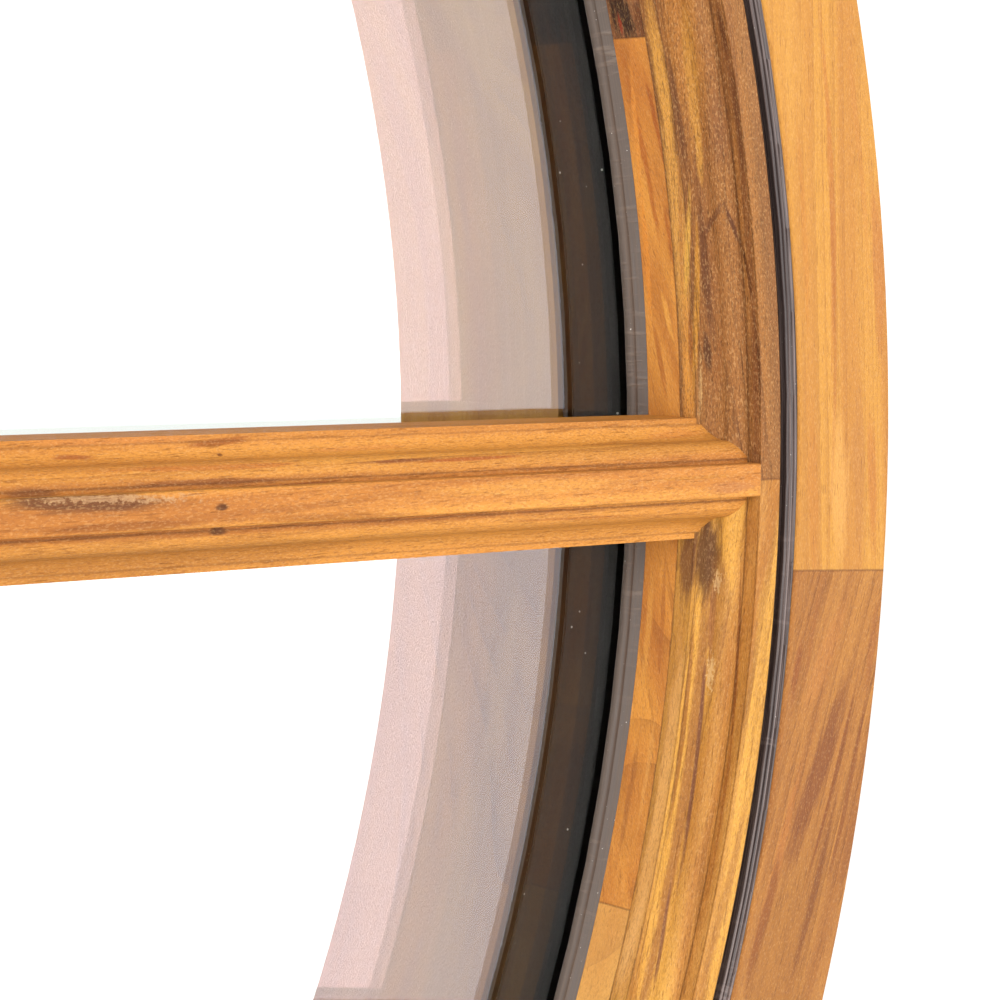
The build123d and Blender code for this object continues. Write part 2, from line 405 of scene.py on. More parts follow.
    def _section(self, recipe: Recipe, place: Socket) -> tuple:
        """Find where the point is in the moulding's own section.

        Args:
            recipe: The material's recipe.
            place: The point's place in millimetres.

        Returns:
            Distances along the moulding, outwards, into the depth, and across the unrolled face.
        """
        if self.profile is Profile.BAR:
            along, depth, up = add_node(recipe.tree, "SeparateXYZ", {0: place}).outputs
            out = recipe.math("ABSOLUTE", up)
            unrolled = recipe.math("ADD", out, recipe.math("SUBTRACT", depth, NOSE_DEPTH))
            return along, out, depth, recipe.math("MULTIPLY", recipe.math("SIGN", up), unrolled)
        along, out, depth = add_node(recipe.tree, "SeparateXYZ", {0: recipe.round_place()}).outputs
        return along, out, depth, recipe.math("SUBTRACT", out, depth)

    def _growth(self, recipe: Recipe, grain: Socket) -> tuple:
        """Paint stripes, growth rings and veins.

        Args:
            recipe: The material's recipe.
            grain: Coordinates along, into and across the grain, in millimetres.

        Returns:
            The colour, and how dark the growth rings are.
        """
        away, below = self.figure.value
        wander = recipe.noise(recipe.stretch(grain, self.WANDER, self.seed), 2.0)
        along, inward, sideways = add_node(recipe.tree, "SeparateXYZ", {0: grain}).outputs
        across = recipe.math("ADD", sideways, away + self.LOG_REACH * math.sin(self.seed))
        depth = recipe.math("SUBTRACT", inward, below)
        lean = recipe.math("MULTIPLY", along, self.LEAN)
        squares = [recipe.math("MULTIPLY", part, part) for part in (across, depth)]
        ring = recipe.math("SQRT", recipe.math("ADD", *squares))
        ring = recipe.math("ADD", ring, recipe.math("MULTIPLY", wander, self.WANDER_REACH))
        ring = recipe.math("ADD", ring, lean)
        broad = self._bands(recipe, ring, self.BAND, 1.0)
        spell = self._bands(recipe, ring, self.SPELL, 2.0)
        stripe = recipe.noise(recipe.stretch(grain, self.STRIPE, self.seed + 5.0), 3.0, 0.55)
        stripe = recipe.math("MULTIPLY", stripe, 1 - self.BAND_SHARE)
        tone = recipe.math("MULTIPLY_ADD", broad, self.BAND_SHARE, stripe)
        share = recipe.fade(tone, *self.STRIPES_FROM, 0.0, self.stripes)
        colour = recipe.mix(share, linear(self.pale), linear(self.warm))
        mottle = recipe.noise(recipe.stretch(grain, self.MOTTLE, self.seed + 2.0), 3.0, 0.6)
        bleached = recipe.fade(mottle, *self.BLEACH_FROM, 0.0, self.BLEACH)
        colour = recipe.mix(bleached, colour, linear(self.faded))
        shift = recipe.math("MULTIPLY", spell, self.SPELL_SHIFT)
        year = recipe.math("MULTIPLY_ADD", ring, 1 / self.YEAR, shift)
        late = recipe.math("POWER", recipe.math("FRACT", year), self.LATE_WOOD)
        clear = recipe.fade(mottle, *self.LINES_FROM, self.LEAST_LINES, self.lines)
        line = recipe.math("MULTIPLY", late, clear)
        colour = recipe.mix(line, colour, linear(self.dark))
        vein = recipe.noise(recipe.stretch(grain, self.VEIN, self.seed + 8.0), 4.0, 0.65, 0.3)
        dark = recipe.fade(vein, *self.VEINS_FROM, 0.0, self.veins)
        return recipe.mix(dark, colour, linear(self.dark)), line

    def _bands(self, recipe: Recipe, ring: Socket, spacing: float, detail: float) -> Socket:
        """Draw uneven bands that follow the growth rings.

        Args:
            recipe: The material's recipe.
            ring: Distance from the log's middle, in millimetres.
            spacing: The bands' width, in millimetres.
            detail: How many finer layers they have.

        Returns:
            Values near 0.5.
        """
        scaled = recipe.math("MULTIPLY_ADD", ring, 1 / spacing, self.seed * self.BAND_SHIFT)
        inputs = {"W": scaled, "Scale": 1.0, "Detail": detail, "Roughness": 0.6}
        return add_node(recipe.tree, "TexNoise", inputs, noise_dimensions="1D").outputs[0]

    def _streak(
        self, recipe: Recipe, face: Socket, edge: Socket, streak: Streak, colour: Socket
    ) -> Socket:
        """Lay one streak over the wood's colour.

        Args:
            recipe: The material's recipe.
            face: The point's place along and across the board's face, in millimetres.
            edge: Noise that breaks up the streak's edge.
            streak: The streak.
            colour: The colour under it.

        Returns:
            The colour with the streak.
        """
        frame_of_streak = {
            "Vector": face,
            "Location": (streak.along, streak.across, 0.0),
            "Rotation": (0.0, 0.0, math.radians(streak.slope)),
            "Scale": (streak.half_length, streak.half_width, 1.0),
        }
        local = add_node(recipe.tree, "Mapping", frame_of_streak, vector_type="TEXTURE").outputs[0]
        length = add_node(recipe.tree, "VectorMath", {0: local}, operation="LENGTH").outputs["Value"]
        torn = recipe.math("MULTIPLY_ADD", edge, streak.ragged * 2.0, length)
        edges = (share + streak.ragged for share in self.STREAK_EDGE)
        share = recipe.fade(torn, *edges, streak.strength, 0.0)
        return recipe.mix(share, colour, linear(streak.colour))

    def _seams(self, recipe: Recipe, section: tuple, edge: Socket, colour: Socket) -> Socket:
        """Lay glue lines at the board's ends, and thin lines of painted shade in its moulding's corners and
        glue lines along it.

        Args:
            recipe: The material's recipe.
            section: Distances along the moulding, outwards and into the depth, in millimetres.
            edge: Noise that breaks up the lines.
            colour: The colour under them.

        Returns:
            The colour with the lines.
        """
        along, out, depth = section
        for end in self.ends:
            past_end = recipe.math("SUBTRACT", along, math.radians(end) * CURVE_RADIUS)
            from_end = recipe.math("ABSOLUTE", past_end)
            glue = recipe.fade(from_end, *self.GLUE_EDGE, self.GLUE_SHARE, 0.0)
            colour = recipe.mix(glue, colour, linear(self.GLUE))
        # Each crease is a thin broken dark line: painted shade in a corner of the moulding, and a dark
        # joint on a glue line
        for crease in self.creases:
            aside = recipe.math("SUBTRACT", out, crease.out)
            deep = recipe.math("SUBTRACT", depth, crease.depth)
            squares = recipe.math("MULTIPLY_ADD", aside, aside, recipe.math("MULTIPLY", deep, deep))
            away = recipe.math("SQRT", squares)
            wide = crease.half_width
            torn = recipe.math("MULTIPLY_ADD", edge, 2.0 * wide, away)
            line = recipe.fade(torn, wide, self.CREASE_END * wide, crease.strength, 0.0)
            colour = recipe.mix(line, colour, linear(crease.colour))
        return colour

    def _surface(self, recipe: Recipe, grain: Socket, colour: Socket, relief: Socket) -> None:
        """Add pores, lifted fibres with painted highlights and painted shade, and relief, and finish the
        shader.

        Args:
            recipe: The material's recipe.
            grain: Coordinates along, into and across the grain, in millimetres.
            colour: The wood's colour.
            relief: How dark the growth rings are, which is how deep they lie.
        """
        pore = recipe.noise(recipe.stretch(grain, self.PORE, self.seed), 2.0, 0.5)
        dashes = recipe.fade(pore, *self.PORES_FROM, 0.0, self.PORES)
        colour = recipe.mix(dashes, colour, linear(self.dark))
        fibre = recipe.noise(recipe.stretch(grain, self.FIBRE, self.seed + 4.0), 2.0, 0.6)
        glint = recipe.noise(recipe.stretch(grain, self.GLINT, self.seed + 9.0), 1.0)
        # Painted highlights where the lifted fibres catch the light
        light = recipe.fade(glint, *self.GLINTS_FROM, 0.0, self._fuzzed(*self.PAINTED_GLINT_SHARE))
        colour = recipe.mix(light, colour, linear(self.PAINTED_GLINT_COLOUR))
        # Painted shade between the lifted fibres
        shade = recipe.fade(fibre, *self.SHADE_FROM, 0.0, self._fuzzed(*self.PAINTED_FIBRE_SHADE))
        colour = recipe.mix(shade, colour, linear(self.dark))
        recipe.colour(colour)
        recipe.roughness(recipe.fade(fibre, *ROUGH_FROM, *self.ROUGHNESS))
        height = recipe.math("MULTIPLY", fibre, self.FIBRE_HEIGHT)
        height = recipe.math("MULTIPLY_ADD", dashes, -self.PORE_DEPTH, height)
        height = recipe.math("MULTIPLY_ADD", relief, -self.LINE_DEPTH, height)
        recipe.bump(height, self._fuzzed(*self.RELIEF))

    def _fuzzed(self, least: float, added: float) -> float:
        """Return least with this board's share of added."""
        return least + added * self.fuzz


@dataclass(frozen=True)
class FloatGlass:
    """Clear soda-lime float glass, fire polished, so its faces mirror the room without any blur.

    A thin metal-oxide coat, which keeps heat in, makes the rear pane's mirror image rosy.

    Attributes:
        name: The material's name.
        tint: The glass's own colour.
        ior: Its refractive index.
        mirror: The colour and strength of the mirror image, where white is bare glass.
    """

    name: str
    tint: str = "#FCFEFD"
    ior: float = 1.52
    mirror: str = "#FFFFFF"

    def build(self) -> bpy.types.Material:
        """Write the material and return it."""
        return Recipe.begin(
            self.name,
            Base_Color=linear(self.tint),
            Transmission_Weight=1.0,
            Roughness=0.0,
            IOR=self.ior,
            Specular_Tint=linear(self.mirror),
        ).material


@dataclass(frozen=True)
class Rubber:
    """Extruded rubber with fine lines along its length, soft cross creases and a little dust.

    Attributes:
        name: The material's name.
        colour: Its own colour.
        worn: Its colour where it is rubbed or dusty.
        gloss: Its roughness where it is smooth.
        creases: Strength of the cross creases.
        lines: Strength of the fine lines along its length.
    """

    name: str
    colour: str
    worn: str
    gloss: float
    creases: float
    lines: float = 0.8

    # Sizes of the fine lines, the creases, the places where creases lie close and the dust, in
    # millimetres along the ring, outwards and in depth
    LINE = (80.0, 0.35, 0.35)
    CREASE = (1.6, 9.0, 9.0)
    PLACE = (45.0, 40.0, 40.0)
    SPECK = (0.5, 0.5, 0.5)

    # Noise values between which each of them comes in
    LINES_FROM = (0.4, 0.7)
    CREASES_FROM = (0.5, 0.7)
    PLACES_FROM = (0.4, 0.6)
    SPECKS_FROM = (0.77, 0.82)

    # The dust's colour and share, the refraction, what the fine lines add to the roughness, the height of
    # a crease beside that of a line, and the relief in millimetres
    DUST = "#D8D2C8"
    DUST_SHARE = 0.8
    IOR = 1.5
    DULLER = 0.2
    CREASE_HEIGHT = 1.5
    RELIEF = 0.08

    def build(self) -> bpy.types.Material:
        """Write the material.

        Returns:
            The material.
        """
        recipe = Recipe.begin(self.name, IOR=self.IOR)
        place = recipe.round_place()
        fine = recipe.noise(recipe.stretch(place, self.LINE), 3.0, 0.6)
        folds = recipe.noise(recipe.stretch(place, self.CREASE, 3.0), 3.0, 0.6)
        close = recipe.noise(recipe.stretch(place, self.PLACE, 9.0))
        crease = recipe.fade(folds, *self.CREASES_FROM)
        crease = recipe.math("MULTIPLY", crease, recipe.fade(close, *self.PLACES_FROM))
        crease = recipe.math("MULTIPLY", crease, self.creases)
        share = recipe.fade(fine, *self.LINES_FROM, 0.0, self.lines)
        colour = recipe.mix(share, linear(self.colour), linear(self.worn))
        colour = recipe.mix(crease, colour, linear(self.worn))
        dust = recipe.noise(recipe.stretch(place, self.SPECK, 7.0), 1.0)
        dust = recipe.fade(dust, *self.SPECKS_FROM, 0.0, self.DUST_SHARE)
        colour = recipe.mix(dust, colour, linear(self.DUST))
        recipe.colour(colour)
        recipe.roughness(recipe.fade(fine, *ROUGH_FROM, self.gloss, self.gloss + self.DULLER))
        recipe.bump(recipe.math("MULTIPLY_ADD", crease, self.CREASE_HEIGHT, fine), self.RELIEF)
        return recipe.material


@dataclass(frozen=True)
class Plastic:
    """Extruded plastic or sealant with a dull skin and specks of white dust.

    Attributes:
        name: The material's name.
        colour: Its own colour.
        other: Its colour in the broad soft bands of its skin.
        dull: Its roughness.
        dust: Share of the specks that show.
        butyl_and_shade_from: Depth behind the frame's front from which it is black, in millimetres, for
        butyl squeezed over it and painted shade in that corner, or far behind the window for none.
    """

    name: str
    colour: str
    other: str
    dull: float
    dust: float = 0.8
    butyl_and_shade_from: float = 1000.0

    # Sizes of its bands, of the distance between its dust specks and of its grit, in millimetres along
    # the ring, outwards and in depth
    BANDS = (220.0, 3.0, 3.0)
    SPECKS = (5.0, 5.0, 5.0)
    GRIT = (0.6, 0.3, 0.3)

    # Noise values between which a band comes in, and a speck's radius as a share of their distance
    BANDS_FROM = (0.35, 0.65)
    SPECK_EDGE = (0.07, 0.03)

    # Colours of the dust and of butyl, width of the edge of the black (butyl and painted shade) in
    # millimetres, the refraction, what the grit adds to the roughness, and its relief in millimetres
    DUST = "#CFC9C0"
    BUTYL = "#050404"
    BUTYL_EDGE = 0.3
    IOR = 1.49
    DULLER = 0.15
    RELIEF = 0.03

    def build(self) -> bpy.types.Material:
        """Write the material.

        Returns:
            The material.
        """
        recipe = Recipe.begin(self.name, IOR=self.IOR)
        place = recipe.round_place()
        bands = recipe.noise(recipe.stretch(place, self.BANDS), 2.0)
        share = recipe.fade(bands, *self.BANDS_FROM)
        colour = recipe.mix(share, linear(self.colour), linear(self.other))
        cells = {"Vector": recipe.stretch(place, self.SPECKS), "Scale": 1.0}
        speck = add_node(recipe.tree, "TexVoronoi", cells).outputs["Distance"]
        spots = recipe.fade(speck, *self.SPECK_EDGE, 0.0, self.dust)
        colour = recipe.mix(spots, colour, linear(self.DUST))
        # Black from the given depth on: butyl squeezed over the rear corner, and painted shade there
        depth = add_node(recipe.tree, "SeparateXYZ", {0: place}).outputs[2]
        butyl_and_shade = recipe.fade(depth, self.butyl_and_shade_from, self.butyl_and_shade_from + self.BUTYL_EDGE)
        colour = recipe.mix(butyl_and_shade, colour, linear(self.BUTYL))
        recipe.colour(colour)
        grit = recipe.noise(recipe.stretch(place, self.GRIT), 2.0)
        recipe.roughness(recipe.fade(grit, *ROUGH_FROM, self.dull, self.dull + self.DULLER))
        recipe.bump(grit, self.RELIEF)
        return recipe.material


def dress(node: str, material: bpy.types.Material) -> None:
    """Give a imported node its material, and log it.

    Args:
        node: The node's name.
        material: The material for all its faces.
    """
    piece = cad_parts[node]
    if not piece.material_slots:
        piece.data.materials.append(material)
    for slot in piece.material_slots:
        slot.material = material
    log.info("dressed %s with %s", node, material.name)


# Pale, warm and dark tones that teak boards have side by side
TONES = (
    ("#BD853E", "#A76C30", "#7D4A22"),
    ("#A87034", "#8F5B2B", "#683F22"),
    ("#AD6F37", "#965D27", "#71431F"),
    ("#C28B45", "#AD7635", "#835224"),
)


def signed(angle: float) -> float:
    """Return an angle in degrees between -180 and 180."""
    return (angle + 180.0) % 360.0 - 180.0


@dataclass
class SegmentRing:
    """A ring of wooden segments, end to end.

    Attributes:
        nodes: Start of its nodes' names.
        first_joint: Angle of the joint where segment 1 starts, in degrees.
        boards: Finishes of the boards that have a character of their own, by segment number.
        seed: Number that sets the other boards' looks.
        creases: Dark lines along its moulding: painted shade in its corners, and glue lines.
    """

    nodes: str
    first_joint: float
    boards: dict[int, Teak]
    seed: int
    creases: tuple[Crease, ...] = ()

    # Ranges of the other boards' slopes of grain in degrees, veins and seeds
    SLOPES = (-4.0, 4.0)
    VEINS = (0.1, 0.6)
    SEEDS = (0.0, 40.0)

    def board(self, number: int, draw: random.Random) -> Teak:
        """Choose one segment's finish.

        Args:
            number: The segment's number, from 1.
            draw: The ring's own run of random numbers.

        Returns:
            The board's finish: the one listed for it, or one with its grain near its own chord.
        """
        middle = self.first_joint + SEGMENT_ARC * (number - 0.5)
        pale, warm, dark = draw.choice(TONES)
        drawn = Teak(
            pale, warm, dark,
            grain=middle + 90.0 + draw.uniform(*self.SLOPES),
            figure=draw.choice(list(Figure)),
            veins=draw.uniform(*self.VEINS),
            seed=draw.uniform(*self.SEEDS),
        )
        return replace(
            self.boards.get(number, drawn),
            name=f"{self.nodes}_teak_{number:02d}",
            ends=(signed(middle - SEGMENT_ARC / 2), signed(middle + SEGMENT_ARC / 2)),
            creases=self.creases,
        )

    def dress(self) -> None:
        """Give every segment its board's finish."""
        draw = random.Random(self.seed)
        for number in range(1, round(360.0 / SEGMENT_ARC) + 1):
            dress(f"{self.nodes}_{number:02d}", self.board(number, draw).build())


@dataclass
class Woodwork:
    """The frame, the moulded ring and the bar, all in teak, and the frame's dowels.

    A board's streaks are laid in the order of their list, so each lies over those before it.

    Attributes:
        glue: The glue line of the ring's two layers.
        ring_shade_and_glue: Lines of painted shade in the corners of the ring's moulding, and the glue
            line.
        bar_painted_shade: Lines of painted shade in the corners of the bar's moulding.
    """

    glue: tuple = (Crease(354.3, 17.0, 0.3, 0.6),)
    ring_shade_and_glue: tuple = (
        # Painted shade in the corners of the ring's moulding, then the real glue line
        Crease(363.5, 2.4, 0.22, 0.5),
        Crease(362.6, 5.0, 0.35, 0.7, "#5A3316"),
        Crease(355.4, 12.0, 0.3, 0.4),
        Crease(354.3, 12.1, 0.25, 0.45),
        *glue,
    )
    bar_painted_shade: tuple = (
        # Painted shade in the corners of the bar's moulding
        Crease(3.5, 2.4, 0.2, 0.35),
        Crease(4.3, 5.0, 0.35, 0.6, "#5A3316"),
        Crease(11.4, 12.0, 0.3, 0.35),
    )

    def frame_ring(self) -> SegmentRing:
        """Choose the boards of the frame.

        Returns:
            The frame's ring of segments.
        """
        upper = Teak(
            pale="#B47F36", warm="#A46C30", dark="#824E24", faded="#C29046",
            grain=93.0, seed=3.0, stripes=0.7, lines=0.35, veins=0.15, fuzz=0.3,
            streaks=(
                Streak(55.2, 385.4, 4.6, 47.2, 1.1, "#A0622B", 0.7, 0.4),
                Streak(26.3, 383.8, 2.0, 52.2, 0.75, "#955926", 0.6, 0.4),
                Streak(39.9, 398.0, 0.5, 25.6, 2.0, "#9F632F", 0.7),
                Streak(-1.2, 395.2, -4.6, 19.3, 1.95, "#A3652D", 0.7),
                Streak(0.3, 391.3, -3.0, 22.6, 2.7, "#A06B34", 0.7, 0.6),
                Streak(-0.9, 385.0, -3.2, 19.6, 3.4, "#BD8A47", 0.7, 0.6),
                Streak(0.8, 376.9, -3.5, 23.1, 2.2, "#A66B2D", 0.6, 0.6),
                Streak(66.4, 395.0, 0.3, 26.0, 1.1, "#A86E31", 0.6),
                Streak(51.7, 376.5, 2.6, 25.6, 1.1, "#AA6E2D", 0.6),
            ),
        )
        lower = Teak(
            pale="#9F6A31", warm="#885427", dark="#67391B", faded="#B27F41",
            grain=70.0, seed=11.0, stripes=0.8, lines=0.6, veins=0.35, fuzz=0.4,
            streaks=(
                Streak(-100.0, 385.0, 4.0, 40.0, 13.0, "#8A5928", 0.6, 0.6),
                Streak(-61.2, 385.7, 14.3, 26.3, 3.8, "#6F3E20", 0.85),
                Streak(-60.0, 391.4, 9.2, 27.4, 0.8, "#6E3B1B", 0.8, 0.4),
                Streak(-64.7, 395.9, 5.5, 25.7, 1.0, "#73401E", 0.8, 0.4),
                Streak(-40.4, 375.5, 4.6, 8.0, 1.1, "#7C4420", 0.7, 0.6),
                Streak(-37.8, 383.3, 20.6, 15.9, 3.1, "#A56B34", 0.6, 0.6),
                Streak(-79.4, 377.9, 6.0, 25.3, 1.9, "#9D602D", 0.6),
                Streak(-84.4, 390.7, 5.1, 22.3, 1.5, "#6E3F1E"),
                Streak(-91.4, 376.9, 5.6, 17.0, 1.9, "#77441F"),
                Streak(-35.3, 398.1, 2.6, 12.1, 1.5, "#8B5428", 0.7),
                Streak(-75.5, 399.0, 1.1, 12.1, 1.5, "#7D4B24", 0.7),
                Streak(-34.7, 379.1, 6.2, 13.7, 0.8, "#885124", 0.6),
            ),
        )
        return SegmentRing("frame_segment", -3.0, {1: upper, 12: lower}, 11)

    def front_ring(self) -> SegmentRing:
        """Choose the boards of the moulded front layer.

        Returns:
            The front layer's ring of segments.
        """
        brown = Teak(
            pale="#925F2E", warm="#764725", dark="#4F2C15", faded="#A5743F",
            grain=98.0, seed=5.0, stripes=0.8, lines=0.6, veins=0.5, fuzz=0.9, figure=Figure.LIVELY,
            streaks=(
                Streak(94.0, 348.0, 0.0, 30.0, 6.5, "#A0682C", 0.7),
                Streak(85.0, 340.0, 0.0, 26.0, 2.4, "#D19542"),
                Streak(52.0, 339.6, 0.0, 36.0, 3.2, "#CC9144", 0.85, 0.4),
                Streak(20.0, 340.0, 0.0, 30.0, 2.4, "#C6843A", 0.75),
                Streak(50.0, 366.0, 0.0, 100.0, 3.4, "#80552F", 0.6, 0.4),
                Streak(50.0, 360.0, 0.0, 90.0, 1.3, "#714222", 0.65, 0.4),
                Streak(85.7, 348.7, 4.7, 18.8, 2.6, "#AA7632", 0.9, 0.4),
                Streak(69.9, 348.1, 4.5, 7.9, 1.6, "#AE7A34", 0.9, 0.4),
                Streak(77.4, 343.4, -1.3, 15.0, 1.4, "#673F23", 0.85),
                Streak(93.7, 359.9, -3.8, 7.0, 1.1, "#562E14", 0.8, 0.4),
                Streak(75.3, 360.5, 1.2, 17.5, 1.1, "#60361B", 0.8, 0.4),
                Streak(84.5, 365.8, 2.3, 16.7, 1.7, "#8D5E34", 0.6, 0.6),
                Streak(73.9, 354.7, 2.2, 10.1, 4.3, "#7A4D2B", 0.7, 0.6),
                Streak(54.2, 355.5, -21.8, 6.5, 0.9, "#4E2A18", 0.85),
                Streak(55.5, 350.1, 43.1, 6.1, 1.1, "#5D351D"),
                Streak(44.5, 346.6, 0.3, 15.4, 1.8, "#5E361B"),
                Streak(27.2, 345.8, -4.7, 5.5, 1.4, "#492814", 0.85, 0.6),
                Streak(24.1, 349.0, 0.0, 9.0, 1.9, "#875327", 0.6, 0.7),
                Streak(44.0, 358.9, -10.5, 7.8, 0.7, "#522A12", 0.8, 0.4),
                Streak(27.1, 360.7, -3.8, 12.6, 0.7, "#5B3218", 0.7),
                Streak(50.2, 341.9, 9.3, 14.3, 1.1, "#CD9A42", 0.8, 0.4),
                Streak(35.0, 343.1, 5.8, 22.0, 1.1, "#B67D2C"),
                Streak(30.6, 341.0, 1.2, 9.4, 0.9, "#8B5021"),
                Streak(58.8, 340.9, 6.1, 22.1, 0.9, "#A66C33", 0.7),
                Streak(22.1, 339.7, -2.5, 9.1, 1.1, "#CC8B3C"),
                Streak(20.0, 343.6, 1.6, 8.0, 0.6, "#BE9560", 0.7, 1.2, True),
            ),
        )
        golden = Teak(
            pale="#C28D3C", warm="#9B622A", dark="#673B18", faded="#D09C52",
            grain=78.0, seed=7.0, stripes=0.9, lines=0.65, veins=0.4, fuzz=0.5,
            streaks=(
                Streak(-78.0, 340.3, 0.0, 52.0, 2.6, "#C58E4E", 0.75, 0.4),
                Streak(-70.0, 347.0, 0.0, 80.0, 2.4, "#855125", 0.75, 0.4),
                Streak(-63.3, 340.5, 2.3, 33.2, 1.9, "#C7914F", 0.8, 0.4),
                Streak(-101.8, 339.4, 4.8, 16.0, 2.2, "#CA9657", 0.7, 0.4),
                Streak(-54.1, 343.9, -0.6, 32.8, 1.0, "#834F20", 0.8, 0.4),
                Streak(-62.2, 349.0, -1.9, 32.4, 0.9, "#663D2D", 0.85, 0.4),
                Streak(-99.3, 348.4, -4.3, 14.2, 0.8, "#693F2E", 0.8, 0.4),
                Streak(-29.7, 349.1, -1.0, 11.7, 1.3, "#845034", 0.7),
                Streak(-38.8, 357.6, -2.9, 25.6, 0.6, "#733E18", 0.85, 0.4),
                Streak(-67.6, 358.8, -0.9, 26.9, 0.5, "#814A1B", 0.7, 0.4),
                # Dark patch where the bar's end meets the ring: a stain, darkened further as painted shadow
                # of the bar
                Streak(-17.0, 346.6, 0.0, 12.0, 6.0, "#4E2E18", 0.9),
                Streak(-18.0, 340.8, 0.9, 13.0, 3.4, "#6A4226", 0.85),
                Streak(-30.3, 351.0, -1.3, 18.9, 4.2, "#8F5C30", 0.6, 0.6),
                Streak(-64.9, 353.7, 0.9, 25.9, 2.5, "#AF7A37", 0.7),
                Streak(-38.3, 364.7, -2.9, 25.4, 2.5, "#B27F36", 0.7),
                Streak(-88.3, 364.4, 3.7, 24.5, 1.5, "#905D2A", 0.6),
                Streak(-22.3, 349.8, 0.0, 3.0, 1.3, "#C09A68", 0.8, 1.5, True),
                Streak(-42.0, 350.0, -1.0, 4.6, 1.3, "#C39D68", 0.8, 1.5, True),
            ),
        )
        boards = {1: brown, 12: golden}
        return SegmentRing("sash_front_segment", 0.0, boards, 23, self.ring_shade_and_glue)

    def back_ring(self) -> SegmentRing:
        """Choose the boards of the plain back layer.

        Returns:
            The back layer's ring of segments.
        """
        orange = Teak(
            pale="#CF8D3D", warm="#B06B2E", dark="#824A22", faded="#D89C4C",
            grain=90.0, tilt=20.0, seed=9.0, stripes=0.9, lines=0.5, veins=0.4, fuzz=0.5,
            streaks=(
                Streak(69.9, 331.4, -6.1, 25.0, 1.1, "#A05621"),
                Streak(77.4, 336.3, -6.5, 13.1, 0.9, "#934C1F"),
                Streak(25.1, 331.4, -11.6, 10.7, 1.1, "#9F5B26"),
                Streak(35.0, 334.2, -15.1, 6.7, 1.0, "#D29341"),
                Streak(46.9, 329.0, 0.6, 18.4, 1.1, "#CE8131", 0.7, 0.6),
                Streak(75.4, 329.9, 4.2, 18.3, 1.0, "#CE8638", 0.7, 0.6),
                Streak(53.3, 336.4, -5.8, 8.1, 0.8, "#99511F", 0.7),
                Streak(-34.7, 329.9, -0.2, 18.6, 1.3, "#C88B40", 0.7),
                Streak(-33.1, 334.1, -1.9, 17.2, 0.9, "#9F5E2B", 0.7),
                Streak(-70.2, 330.5, 0.9, 18.8, 1.1, "#965C2C", 0.7, 0.6),
                Streak(-65.1, 334.8, 0.6, 18.6, 0.9, "#C68A44", 0.7, 0.6),
            ),
        )
        knotty = Teak(
            pale="#8D5935", warm="#5A3723", dark="#2B1C13", faded="#9D6B40",
            grain=118.0, seed=19.0, stripes=0.9, lines=0.7, veins=0.8, fuzz=0.7, figure=Figure.ARCHED,
            streaks=(
                Streak(101.5, 331.2, -12.0, 9.5, 4.4, "#27160E", 0.92, 0.8),
                Streak(98.5, 336.3, -1.4, 5.0, 1.5, "#64371B", 0.8, 0.8),
                Streak(98.4, 330.4, -5.6, 3.2, 0.8, "#8D361E", 0.8, 0.8),
            ),
        )
        reddish = Teak(
            pale="#CC954E", warm="#BC8141", dark="#976334", faded="#D2A05A",
            grain=62.0, seed=21.0, stripes=0.7, lines=0.4, veins=0.3, fuzz=0.5,
        )
        boards = {12: orange, 1: knotty, 11: reddish}
        return SegmentRing("sash_back_segment", 15.0, boards, 37, self.glue)

